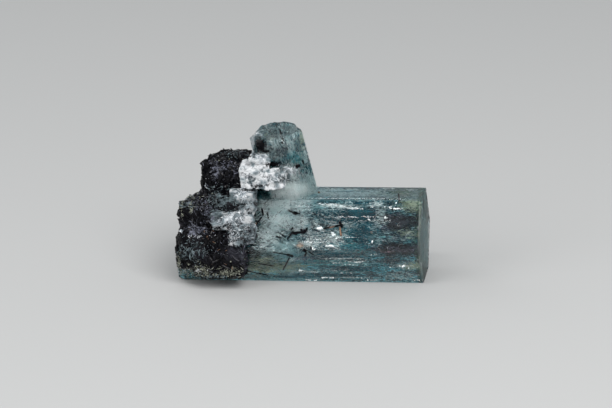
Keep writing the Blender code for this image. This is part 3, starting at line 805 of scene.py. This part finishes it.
# Patches of slivers in it, by material: the middle's pixel X and Y, half the width and height in pixels,
# the least and greatest depth, and how much of the patch the slivers cover
PATCHES = {
    # The shade and deep slivers are dark flaws and partly painted shade, laid where the clear crystal is to
    # look dark.
    "shade": (
        (401, 222.5, 19.5, 9, 0.08, 0.9, 0.86), (396, 249.8, 24.5, 7.4, 0.08, 0.9, 0.86),
        (368, 214.5, 12, 5, 0.2, 1.4, 0.66), (352, 217.5, 18, 5, 0.3, 1.6, 0.5),
        (399.2, 197, 1, 2.6, 0.2, 0.4, 0.8), (360, 253.4, 16, 0.9, 0.3, 0.6, 0.6),
        (395, 262, 26, 4, 0.3, 1.4, 0.56), (398, 273.5, 24, 4, 0.3, 1.6, 0.5),
        (360, 243, 10, 8, 0.3, 1.6, 0.5), (322, 228, 16, 10, 0.15, 0.8, 0.2),
        (372, 274, 10, 4, 0.04, 0.3, 0.4), (398, 236, 18, 4, 0.1, 0.8, 0.44),
        # (258, 190) paints the shadow under the feldspar block.
        (258, 190, 10, 4, 0.12, 0.6, 0.3), (262, 243, 12, 9, 0.3, 1.4, 0.3),
        (256, 222, 6, 14, 0.4, 1.4, 0.26), (318, 215, 14, 4, 0.4, 1.2, 0.24),
        (262.4, 147.8, 5.4, 5.4, 0.2, 0.8, 0.55), (272, 136, 9, 4, 0.2, 0.8, 0.34),
        (287, 132, 5, 5, 0.2, 0.8, 0.28), (276, 152, 8, 6, 0.2, 1, 0.28),
    ),
    "deep": (
        (357, 203.2, 4.2, 1.4, 0.04, 0.2, 0.86), (333, 275, 44, 3.6, 0.08, 0.6, 0.8),
        (345, 267, 34, 4, 0.3, 1.2, 0.55), (362, 229, 14, 7, 0.3, 1.4, 0.6),
        (333, 221, 18, 3.2, 0.3, 1.2, 0.44), (357, 214, 19, 8, 0.08, 0.6, 0.8),
        (356, 238, 14, 10, 0.08, 0.6, 0.5), (318, 232, 20, 12, 0.15, 0.8, 0.26),
        (336, 260, 38, 9, 0.08, 0.6, 0.62), (356, 269.4, 27, 1.7, 0.04, 0.2, 0.88),
        (334, 253.4, 20, 1.2, 0.04, 0.2, 0.8), (298, 276.6, 30, 1.1, 0.04, 0.2, 0.86),
        (345, 279.6, 34, 0.8, 0.04, 0.12, 0.7), (345, 191.8, 22, 0.7, 0.02, 0.08, 0.6),
        (350, 197, 30, 0.8, 0.02, 0.08, 0.6), (357, 247, 20, 2.6, 0.1, 0.4, 0.5),
        # (262, 193) paints the shadow under the feldspar block.
        (262, 193, 13, 6, 0.12, 0.6, 0.34), (323, 242, 20, 14, 0.6, 1.8, 0.55),
        (330, 216, 20, 5, 0.6, 1.6, 0.4),
    ),
    "white": (
        # The first two rows, and the rows at (340, 206) and (376, 204.6), lay bright slivers along the
        # streak under the front face's top edge: partly painted highlight.
        (335, 205.4, 12, 1.4, 0.03, 0.12, 0.56), (350, 207.8, 9, 1.2, 0.03, 0.12, 0.56),
        (340, 270, 30, 0.8, 0.06, 0.2, 0.46), (405, 266, 13, 2.6, 0.1, 0.3, 0.34),
        (330, 279.2, 40, 0.5, 0.1, 0.2, 0.36), (262, 246, 8, 5, 0.1, 0.4, 0.3),
        (348, 258.4, 22, 0.8, 0.06, 0.2, 0.4), (292, 259.6, 10, 1.6, 0.06, 0.3, 0.3),
        (285, 203, 20, 6, 0.1, 0.5, 0.46), (266, 203, 9, 4, 0.2, 0.6, 0.4),
        (282, 220, 12, 7, 0.1, 0.5, 0.44), (303, 222, 6, 10, 0.1, 0.5, 0.4),
        (266, 236, 11, 9, 0.1, 0.5, 0.44), (311, 243, 9, 6.4, 0.1, 0.5, 0.46),
        (331, 240, 5, 5, 0.2, 0.6, 0.34), (340, 206, 23, 1.8, 0.2, 0.5, 0.5),
        (354, 261.8, 13, 1.8, 0.3, 0.6, 0.36), (376, 204.6, 7.6, 2.6, 0.2, 0.5, 0.46),
        (252.8, 143, 1.4, 6, 0.12, 0.3, 0.9), (262.6, 157.2, 6.4, 4.6, 0.2, 0.6, 0.78),
        (421.6, 262, 0.8, 14, 0.12, 0.3, 0.5), (286, 174, 14, 8, 0.08, 0.4, 0.8),
        (290, 190, 22, 8, 0.06, 0.3, 0.9), (266, 131, 8, 3.6, 0.12, 0.5, 0.4),
        (290, 126, 8, 3, 0.12, 0.5, 0.34), (290, 146, 5, 9, 0.2, 0.6, 0.24),
        (274, 146, 4, 5, 0.2, 0.6, 0.3),
    ),
    "milk": (
        (334, 258.4, 16, 1, 0.04, 0.15, 0.44), (352, 264.4, 16, 0.7, 0.04, 0.15, 0.36),
        (304, 271.8, 16, 1.6, 0.04, 0.2, 0.46), (345, 277.4, 24, 0.5, 0.04, 0.12, 0.6),
        (292, 187, 17, 5, 0.03, 0.15, 0.8), (332, 188.8, 11, 0.6, 0.02, 0.08, 0.84),
        (354, 189.4, 7, 0.5, 0.02, 0.08, 0.7), (388, 188.6, 7, 0.6, 0.02, 0.08, 0.84),
        (410, 189.4, 8, 0.6, 0.02, 0.08, 0.84), (334, 194.4, 12, 0.5, 0.02, 0.08, 0.7),
        (267, 196, 6, 3.4, 0.04, 0.3, 0.66), (400, 276, 18, 5, 0.12, 0.6, 0.36),
        (342, 262.6, 26, 2.4, 0.1, 0.4, 0.3), (379.4, 217, 6.4, 12, 0.12, 0.9, 0.46),
        (290, 190.8, 23, 7.6, 0.3, 1.6, 0.74), (283, 207, 24, 9, 0.3, 1.4, 0.6),
        (281, 222, 21, 7, 0.3, 1.4, 0.62), (328, 238, 16, 8, 0.2, 0.8, 0.22),
        (265, 240, 16, 9, 0.3, 1.4, 0.5), (330, 193, 26, 4, 0.25, 0.8, 0.5),
        (373, 193.5, 26, 3.6, 0.25, 0.8, 0.34), (293, 178, 16, 10, 0.3, 1.6, 0.6),
        (280, 132, 21, 9, 0.25, 1.2, 0.4),
    ),
    "teal": (
        (348, 263.2, 24, 1.4, 0.04, 0.15, 0.66), (264, 194.6, 8, 4, 0.04, 0.3, 0.46),
        (310, 278.6, 62, 0.7, 0.1, 0.3, 0.44), (350, 245.6, 16, 4, 0.12, 0.5, 0.34),
        (330, 261, 26, 1.4, 0.06, 0.3, 0.6), (318, 264.4, 20, 1, 0.06, 0.2, 0.44),
        (352, 272.4, 26, 1.2, 0.06, 0.3, 0.5), (345, 265, 30, 1.2, 0.12, 0.4, 0.5),
        (384.6, 236.9, 9, 0.7, 0.2, 0.4, 0.8), (350, 238, 10, 7, 0.3, 1, 0.4),
        (345, 252, 22, 1.6, 0.3, 0.6, 0.44), (296, 157, 7.6, 8, 0.3, 1, 0.5),
        (300, 170, 5, 14, 0.3, 1, 0.34),
    ),
    "straw": (
        (297, 266, 12, 1.8, 0.04, 0.2, 0.46), (264, 260, 11, 2.4, 0.04, 0.2, 0.44),
        (263, 271, 13, 1.8, 0.04, 0.2, 0.5), (410, 267, 9, 3.6, 0.1, 0.4, 0.5),
        (406, 233, 12, 4, 0.1, 0.5, 0.2), (410.5, 206, 10.5, 7, 0.3, 1, 0.62),
        (415, 265, 6.5, 3, 0.3, 0.8, 0.6), (408, 233, 12, 5, 0.2, 1, 0.26),
        (262, 268, 24, 6, 0.1, 0.5, 0.4), (288, 268, 12, 4, 0.12, 0.6, 0.4),
        (405, 193, 14, 4, 0.2, 0.8, 0.34), (420.4, 236, 0.9, 38, 0.12, 0.3, 0.6),
        (302, 140, 3, 12, 0.25, 0.6, 0.4), (268, 135, 10, 5, 0.25, 0.8, 0.26),
    ),
    "moss": (
        (398, 192.6, 20, 1.6, 0.02, 0.08, 0.7), (372, 196.6, 20, 0.8, 0.02, 0.08, 0.5),
        (260, 265, 28, 8.6, 0.12, 0.9, 0.5), (402, 193, 19, 8, 0.08, 0.5, 0.55),
    ),
    "needle": (
        (300, 172, 3, 5, 0.04, 0.2, 0.34), (289, 231, 10, 5, 0.15, 0.5, 0.22),
        (303, 250, 8, 4, 0.15, 0.5, 0.24), (262, 212, 8, 10, 0.15, 0.6, 0.1),
        (280, 238, 10, 5, 0.15, 0.6, 0.14), (252, 241, 6, 7, 0.1, 0.6, 0.44),
        (250, 254, 10, 6, 0.1, 0.6, 0.5), (246, 266, 10, 5, 0.1, 0.6, 0.3),
        (253, 216, 2.4, 14, 0.1, 0.6, 0.3), (260.4, 145.2, 4.6, 6.6, 0.12, 0.6, 0.94),
        (265.6, 151, 4.4, 1.2, 0.2, 0.5, 0.6), (273.4, 164.4, 6.4, 2.5, 0.15, 0.5, 0.9),
        (297.2, 166.2, 2.2, 1.3, 0.15, 0.4, 0.88), (289, 170, 9, 4, 0.2, 0.8, 0.16),
        # These eight rows paint shade: black slivers that deepen the dark patches near the flat end.
        (392, 217.5, 9, 3.4, 0.04, 0.25, 0.34), (409, 217.5, 8, 3.4, 0.04, 0.25, 0.34),
        (392, 227, 9, 3, 0.04, 0.25, 0.3), (409, 227.5, 8, 3.6, 0.04, 0.25, 0.36),
        (384, 246, 7, 3.4, 0.04, 0.25, 0.3), (401, 246, 10, 3.4, 0.04, 0.25, 0.36),
        (407, 254, 9, 3, 0.04, 0.25, 0.34), (388, 254, 9, 3, 0.04, 0.25, 0.3),
    ),
    "violet": (
        (396, 218, 16, 3, 0.1, 0.4, 0.1), (396, 250, 18, 4, 0.1, 0.4, 0.12),
        (307, 258.4, 11.5, 2.8, 0.3, 0.8, 0.62), (385, 227.6, 8, 2.6, 0.4, 0.8, 0.4),
    ),
    "peach": (
        (300.4, 245.2, 3, 2.6, 0.25, 0.5, 0.86), (371.7, 232.7, 1, 0.9, 0.2, 0.3, 0.9),
    ),
    "pink": (
        (383, 240.6, 0.9, 0.8, 0.2, 0.3, 0.9), (388.4, 251.8, 4.2, 0.8, 0.2, 0.4, 0.66),
        (333, 246.4, 2, 1.4, 0.2, 0.3, 0.4),
    ),
}

# Curved threads: material, middle pixel, half width and height in pixels, how many, how thick, and the
# pixel that they run round, or none where they run every way
WISPS = (
    ("white", (322, 238), (17, 10), 90, (0.02, 0.055), (318, 262)),
    ("white", (335, 220), (24, 7), 50, (0.02, 0.055), (338, 196)),
    ("white", (290, 232), (26, 18), 80, (0.02, 0.055), (262, 262)),
    ("white", (284, 214), (24, 18), 300, (0.02, 0.05), None),
    ("white", (322, 232), (22, 16), 120, (0.02, 0.045), None),
    ("shade", (286, 222), (26, 20), 150, (0.02, 0.045), None),
    ("shade", (322, 228), (22, 16), 90, (0.02, 0.045), None),
    ("white", (284, 173), (12, 6), 60, (0.02, 0.05), None),
    ("shade", (284, 174), (14, 8), 60, (0.02, 0.045), None),
    ("white", (392, 244), (30, 24), 60, (0.015, 0.03), None),
)
WISP_DEPTH = (0.1, 0.3)
WISP_STEP = 1.3


def pixel_needles(name, rows, material):
    rng = random.Random(5)
    shape = Shape()
    for x, y, last_x, last_y, depth, last_depth, radius in rows:
        start = under_pixel(x, y, depth)
        end = under_pixel(last_x, last_y, last_depth)
        add_needle(shape, start, end, radius, rng)
    shape.piece(name, material, "schorl")


# How deep a bright flake lies, the length of its parts and how far they are shifted up or down
FLAKE_DEPTH = 0.04
FLAKE_PART = 0.28
FLAKE_SHIFT = 0.14


# White grains along the bright streaks: flaws, and partly painted highlights.
def flecks_and_painted_glints(material):
    rng = random.Random(6)
    shape = Shape()
    for x, y, length, width in FLECKS_AND_PAINTED_GLINTS:
        place = under_pixel(x, y, FLAKE_DEPTH)
        parts = max(1, round(length / FLAKE_PART))
        for k in range(parts):
            along = (k + 0.5) / parts - 0.5
            spot = place + X_AXIS * along * length
            spot += Vector((0, 0, rng.uniform(-FLAKE_SHIFT, FLAKE_SHIFT) * (parts > 1)))
            size = width * rng.uniform(0.5, 0.95)
            if 0 < depth_inside(spot) < size:
                add_grain(shape, clamp_inside(spot, size), size, rng, 0.4)
    shape.piece("flecks_and_painted_glints", material, "aquamarine")


# The slivers of the patches, and how far they spread for the patch's half size
PATCH_LENGTH = (0.18, 0.7)
PATCH_WIDTH = (0.05, 0.12)
PATCH_SPREAD = 0.52

# The slivers under the faces: how many tries, how deep and how long
SKIN_POINTS = 26000
SKIN_DEPTH = (0.15, 0.8)
SKIN_LENGTH = (0.15, 0.6)

# Counts and sizes of the flakes and needles that lie anywhere
SPARKLES = 900
SPARKLE_SIZE = (0.06, 0.2)
INNER_NEEDLES = 110
INNER_LENGTH = (1.5, 7)
INNER_RADIUS = (0.05, 0.13)


def spread_pixels(x, y, half_x, half_y, cover, length, width, rng):
    """Pixels spread over a patch, as many as the slivers that cover that share of it."""
    area = math.pi * half_x * half_y * PIXEL ** 2
    sliver = sum(length) * sum(width) / 8
    for _ in range(round(-math.log(1 - cover) * area / sliver)):
        yield rng.gauss(x, half_x * PATCH_SPREAD), rng.gauss(y, half_y * PATCH_SPREAD)


def patch_slivers(materials):
    """The patches, one piece for each material."""
    rng = random.Random(9)
    for kind, rows in PATCHES.items():
        shape = Shape()
        for x, y, half_x, half_y, near, far, cover in rows:
            for px, py in spread_pixels(x, y, half_x, half_y, cover, PATCH_LENGTH, PATCH_WIDTH, rng):
                place = under_pixel(px, py, rng.uniform(near, far))
                if place is not None:
                    add_sliver(shape, place, growth_at(place), 0.15, PATCH_LENGTH, PATCH_WIDTH, 0.02, rng,
                               longest=half_x * PIXEL)
        shape.piece(kind + "_patches", materials[kind], "aquamarine")


def curved_wisps(materials):
    """Fine bent threads, in swirls or every way, one piece for each material."""
    rng = random.Random(10)
    shapes = {}
    for kind, middle, half, count, radius, centre in WISPS:
        shape = shapes.setdefault(kind, Shape())
        for _ in range(count):
            px = middle[0] + half[0] * rng.uniform(-1, 1)
            py = middle[1] + half[1] * rng.uniform(-1, 1)
            depth = rng.uniform(*WISP_DEPTH)
            thick = rng.uniform(*radius)
            turn = rng.gauss(0, 0.9)
            last = under_pixel(px, py, depth)
            for _ in range(rng.randrange(2, 7)):
                bend = noise.noise(Vector((px * 0.12, py * 0.12, 5)))
                way = 7 * bend + turn
                if centre is not None:
                    way = math.atan2(py - centre[1], px - centre[0]) + math.pi / 2 - 0.8 * bend
                px += WISP_STEP * math.cos(way)
                py += WISP_STEP * math.sin(way)
                place = under_pixel(px, py, depth)
                if last is not None and place is not None and (place - last).length < 1:
                    add_needle(shape, last, place, thick, rng, sides=3)
                last = place
    for kind, shape in shapes.items():
        shape.piece(kind + "_wisps", materials[kind], "aquamarine")


def sparkles(material):
    """Small bright flakes that catch the light, spread through the crystal."""
    rng = random.Random(7)
    shape = Shape()
    for point in cloud_points(SPARKLES, lambda p: 0.35 + milky(p), rng):
        add_grain(shape, point, rng.uniform(*SPARKLE_SIZE), rng, 0.3)
    shape.piece("sparkles", material, "aquamarine")


def inner_needles(material):
    """Fine schorl needles that run out of the mass into the crystal."""
    rng = random.Random(8)
    shape = Shape()
    count = 0
    while count < INNER_NEEDLES:
        start = Vector((rng.uniform(-13, -6.5), rng.uniform(-8, 8), rng.uniform(1, 15)))
        way = Vector((rng.uniform(0.2, 1), rng.gauss(0, 0.45), rng.gauss(0, 0.45))).normalized()
        end = start + way * rng.uniform(*INNER_LENGTH)
        if depth_inside(start) > 0.2 and depth_inside(end) > 0.2:
            add_needle(shape, start, end, rng.uniform(*INNER_RADIUS), rng)
            count += 1
    shape.piece("inner_needles", material, "schorl")


def skin_kind(point, side, hidden, rng):
    """The material of a sliver at a place under the faces, or none where the crystal is clear."""
    form = point if side else Vector((point.x * 0.25, point.y, point.z))
    value = noise.noise(form * 0.6) + 0.8 * noise.noise(form * 1.5) + 0.3 * rng.uniform(-1, 1)
    # The dark slivers are partly painted shade: fewer of them on faces turned away from the front, and on
    # the large crystal more towards the flat end.
    if side:
        value += 0.5 * smooth(4.5, 2.0, point.z - 2 * MIDDLE)
        bright, dark = 0.42, 0.06 - 0.3 * hidden
    else:
        end_shade = 0.3 * smooth(-4, 12, point.x)
        bright, dark = 0.5 + end_shade, end_shade - 0.3 - 0.25 * hidden
    if value > bright:
        return "white" if side or point.z >= MIDDLE else "teal"
    if value < dark:
        return rng.choice(("deep",) if hidden > 0.5 else ("shade", "deep", "deep"))
    return None


def skin_slivers(materials):
    """Slivers just under the faces, in patches: bright where the crystal is flawed, and dark between, the
    dark ones partly painted shade.
    """
    rng = random.Random(15)
    shapes = {kind: Shape() for kind in ("white", "shade", "deep", "teal")}
    for place, normal in surface_points("aquamarine", SKIN_POINTS, rng):
        side = in_side(place)
        hidden = smooth(-0.6, 0.1, normal.y)
        for _ in range(4 if side else 1):
            point = place - normal * rng.uniform(*SKIN_DEPTH)
            point += Vector([rng.uniform(-0.4, 0.4) for _ in range(3)])
            kind = skin_kind(point, side, hidden, rng)
            if kind:
                growth = SIDE_AXIS if side else X_AXIS
                add_sliver(shapes[kind], point, growth, 0.2, SKIN_LENGTH, PATCH_WIDTH, 0.08, rng)
    for kind, shape in shapes.items():
        shape.piece(kind + "_skin", materials[kind], "aquamarine")


def fill_crystal(materials):
    pixel_needles("dark_inclusions", DARK_NEEDLES, materials["needle"])
    pixel_needles("rusty_inclusions", RUSTY_NEEDLES, materials["rust"])
    flecks_and_painted_glints(materials["white"])
    sparkles(materials["white"])
    inner_needles(materials["needle"])
    patch_slivers(materials)
    curved_wisps(materials)
    skin_slivers(materials)
    clouds(materials)


# Schorl

SCHORL_VOXEL = 0.175

# The needles on the schorl: material, how many, seed, radius, length, lean and how far they may stand out
NEEDLES = {
    "schorl_prisms": ("schorl", 2600, 20, (0.12, 0.36), (0.8, 2.6), 0.10, 0.22),
    "schorl_needles": ("schorl", 6400, 21, (0.05, 0.14), (0.5, 1.8), 0.14, 0.22),
    "standing_needles": ("schorl", 400, 25, (0.04, 0.1), (0.4, 0.9), 0.9, 0.45),
    "schorl_glints": ("violet_glint", 3200, 22, (0.03, 0.09), (0.2, 1.0), 0.16, 0.3),
}

# The pale grains on it: how many tries, and their size
PALE_GRAINS = 3000
PALE_SIZE = (0.07, 0.2)


def schorl_relief(point):
    """How far the schorl stands out of its solid at a place: columns, blocks and grains."""
    x, y, z = point
    column = noise.noise(Vector((x * 2.6, y * 2.6, z * 0.6)))
    block = noise.noise(Vector((round(x * 1.3), round(y * 1.3), round(z * 0.8))) * 3.7)
    return 0.12 * column + 0.14 * block + 0.10 * noise.noise(point * 4.5) - 0.06


def glinting(place):
    """Where cleavage faces in the schorl glint gray: in patches."""
    return 0.1 + 1.6 * max(noise.noise(place * 0.4 + Vector((7, 1, 3))), 0)


def schorl_needles(name, material, count, seed, radius, length, lean, reach):
    """Needles that lie over the schorl mass along each patch's own direction, with a few standing out."""
    rng = random.Random(seed)
    wanted = glinting if name == "schorl_glints" else lambda place: 1
    shape = Shape()
    for place, normal in surface_points("schorl_mass", count, rng):
        if depth_inside(place) > -0.25 and rng.random() < 0.8:
            continue
        if rng.random() > wanted(place):
            continue
        patch = Vector([noise.noise(place * 0.3 + Vector((k * 9.1, 3, seed))) for k in range(3)])
        patch += Vector((0, 0, 0.5 * smooth(13, 17, place.z)))
        way = patch - normal * patch.dot(normal)
        way = way.normalized() + normal * rng.gauss(0, lean)
        way = (way + jitter(rng, 0.25)).normalized()
        half = rng.uniform(*length) / 2
        wide = rng.uniform(*radius)
        centre = place + normal * rng.uniform(-0.12, 0.06)
        start = clamp_inside(centre - way * half, wide)
        end = clamp_inside(centre + way * half, wide)
        depths = [depth_inside(point, "schorl_mass") for point in (start, end)]
        if (end - start).length > 0.25 and min(depths) > -reach:
            add_needle(shape, start, end, wide, rng, sides=rng.choice((3, 4, 6)))
    shape.piece(name, material, "schorl")


def frosty(place):
    """Where pale grains lie on the schorl: in patches, at the foot and at the left top."""
    x, y, z = place
    foot = smooth(4.2, 3.0, z)
    left = smooth(-18.5, -20.5, x) * smooth(10, 14, z)
    return 0.03 + 0.25 * max(noise.noise(place * 0.8), 0) + 0.06 * foot + 0.1 * left


def pale_grains(material):
    """Small grains of feldspar on the schorl."""
    rng = random.Random(23)
    shape = Shape()
    for place, normal in surface_points("schorl_mass", PALE_GRAINS, rng):
        if rng.random() > frosty(place):
            continue
        size = rng.uniform(*PALE_SIZE)
        add_grain(shape, clamp_inside(place + normal * size * 0.3, size), size, rng, rng.uniform(0.5, 1))
    shape.piece("pale_grains", material, "feldspar")


# Feldspar

FELDSPAR_VOXEL = 0.11
FELDSPAR_SMOOTHINGS = 5
CLEAVAGE = Euler((0.5, 0.3, 0.2)).to_matrix()


def feldspar_relief(point):
    """How far the feldspar stands out of its solid at a place: cleavage steps, lumps and grains."""
    turned = CLEAVAGE @ point
    step = noise.cell(turned * 0.9) + 0.6 * noise.cell(turned * 2.1)
    return 0.14 * step + 0.02 + 0.07 * noise.noise(point * 5) + 0.34 * noise.noise(point * 0.9)


# Patches of fine slivers on the outside of the schorl and feldspar, by material: the middle's pixel X and
# Y, half the width and height in pixels, and how much of the patch they cover
OUTSIDE = ("schorl_mass", "feldspar_block", "feldspar_patch")
# The haze grains at (251, 180) and (248, 181) and the violet glints at (249, 177) paint shade on the
# feldspar block's lower left, and the schorl row at (258, 186) paints the shadow line under the block.
CRUSTS = {
    "violet_glint": (
        (218, 170, 7, 10, 0.5), (232, 168, 7, 8, 0.16), (197, 229, 10, 7.5, 0.62), (210, 214, 6, 11, 0.46),
        (197, 203, 12, 10, 0.26), (232, 250, 20, 14, 0.06), (249, 177, 6, 4, 0.24),
    ),
    "haze_grain": (
        (251, 180, 7, 2.6, 0.3), (276, 180, 8, 2.4, 0.4), (191, 251, 15, 10, 0.34), (227, 200, 15, 8, 0.8),
        (220, 189, 12, 4, 0.5), (216, 214, 6, 5, 0.7), (239, 230, 12, 16, 0.3), (188, 200, 9, 8, 0.44),
        (236, 154, 14, 5, 0.16), (248, 181, 5, 4, 0.5), (261, 133, 6, 5, 0.3), (281, 173, 6, 8, 0.5),
        (256, 197, 2.4, 5, 0.5), (288, 176, 5, 6, 0.4), (205, 279, 28, 4, 0.5),
    ),
    "schorl": (
        (262, 172, 20, 9, 0.05), (224, 228, 9, 5, 0.66), (214, 203, 4, 6, 0.3), (243, 204.6, 3, 1.4, 0.8),
        (238.4, 225.4, 2, 1.4, 0.8), (240, 241, 9, 7, 0.4), (238, 224, 12, 18, 0.22),
        (249, 222, 3, 18, 0.3), (229, 205, 12, 5, 0.3), (258, 186, 12, 1.2, 0.6), (251, 157, 4, 4, 0.5),
        (273, 164, 6.4, 2.4, 0.9), (245, 190, 5, 2, 0.4), (226, 250, 16, 13, 0.3),
        (260.6, 145, 3.6, 6, 0.9), (266.4, 151, 4, 1.2, 0.7), (270, 131, 13, 4, 0.12),
        (297.2, 166.2, 2.2, 1.3, 0.8), (284, 178.6, 5, 1.4, 0.5), (256.4, 195, 1.6, 5, 0.5),
        (200, 276, 24, 5, 0.3),
    ),
    "pale": (
        (242, 194.6, 6, 5.6, 0.8), (222, 221.4, 5, 2.4, 0.74), (228.4, 218.6, 5.4, 3.4, 0.9),
        (234.4, 215.6, 5.4, 3.4, 0.9), (239, 212.8, 3, 2.2, 0.6), (233, 237, 5, 5, 0.46),
        (240, 223, 10, 14, 0.3), (181.3, 231, 1, 1.6, 0.8), (205.6, 185, 0.8, 8, 0.16),
        (262, 158.6, 6, 4, 0.46), (277, 178, 9, 5, 0.3), (193, 271, 15, 3, 0.14), (196, 236, 12, 1.4, 0.16),
        (252.8, 142.5, 1.4, 6, 0.6), (262.6, 157, 6, 4, 0.5), (258, 133, 4, 4, 0.24),
        (290, 171, 11, 6, 0.3),
    ),
    "cream": (
        (191.4, 210.4, 1.2, 3.6, 0.8), (198, 271, 22, 6, 0.3), (228, 273, 20, 5, 0.2),
        (182.4, 206, 1.6, 12, 0.3), (179, 262, 2.4, 10, 0.34), (190, 199, 9, 6, 0.2),
        (205, 280, 28, 3, 0.24),
    ),
    "rust": (
        (207, 226, 14, 26, 0.005), (226, 262, 18, 10, 0.006),
    ),
}
CRUST_LENGTH = (0.12, 0.7)
CRUST_WIDTH = (0.04, 0.11)


def crusts(materials):
    """The patches of slivers, one piece for each material."""
    rng = random.Random(24)
    for kind, rows in CRUSTS.items():
        shape = Shape()
        for row in rows:
            lie = rng.uniform(0, math.pi)
            for px, py in spread_pixels(*row, CRUST_LENGTH, CRUST_WIDTH, rng):
                place, normal = on_surface(px, py, OUTSIDE)
                if place is None:
                    place, normal = on_surface(px, py, ("aquamarine",))
                if place is None:
                    continue
                first, second = across_of(normal)
                turn = lie + rng.gauss(0, 0.7)
                axis = first * math.cos(turn) + second * math.sin(turn) + normal * rng.gauss(0, 0.15)
                wide = rng.uniform(*CRUST_WIDTH)
                place = place + normal * rng.uniform(0, 0.16)
                half = axis.normalized() * rng.uniform(*CRUST_LENGTH) / 2
                start = clamp_inside(place - half, wide)
                end = clamp_inside(place + half, wide)
                add_needle(shape, start, end, wide / 2, rng, sides=3)
        slot = "schorl" if kind in ("schorl", "violet_glint") else "feldspar"
        shape.piece(kind + "_crust", materials[kind], slot)


camera = make_camera()
make_stage()
trees = {node: tree_of(node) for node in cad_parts}
materials = make_materials()
crystal_piece()
fill_crystal(materials)
relief_piece("schorl_mass", "schorl_core", SCHORL_VOXEL, 0, schorl_relief, materials["schorl"])
for name, (kind, *sizes) in NEEDLES.items():
    schorl_needles(name, materials[kind], *sizes)
pale_grains(materials["cream"])
for solid in ("feldspar_block", "feldspar_patch"):
    relief_piece(solid, solid + "_grains", FELDSPAR_VOXEL, FELDSPAR_SMOOTHINGS, feldspar_relief,
                 materials[solid])
crusts(materials)

scene = bpy.context.scene
scene.view_settings.view_transform = "Standard"
scene.cycles.use_denoising = True
scene.cycles.max_bounces = 24
scene.cycles.transmission_bounces = 24
scene.cycles.diffuse_bounces = 12

[[list(corner) for corner in box] for box in (cad_box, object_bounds())]
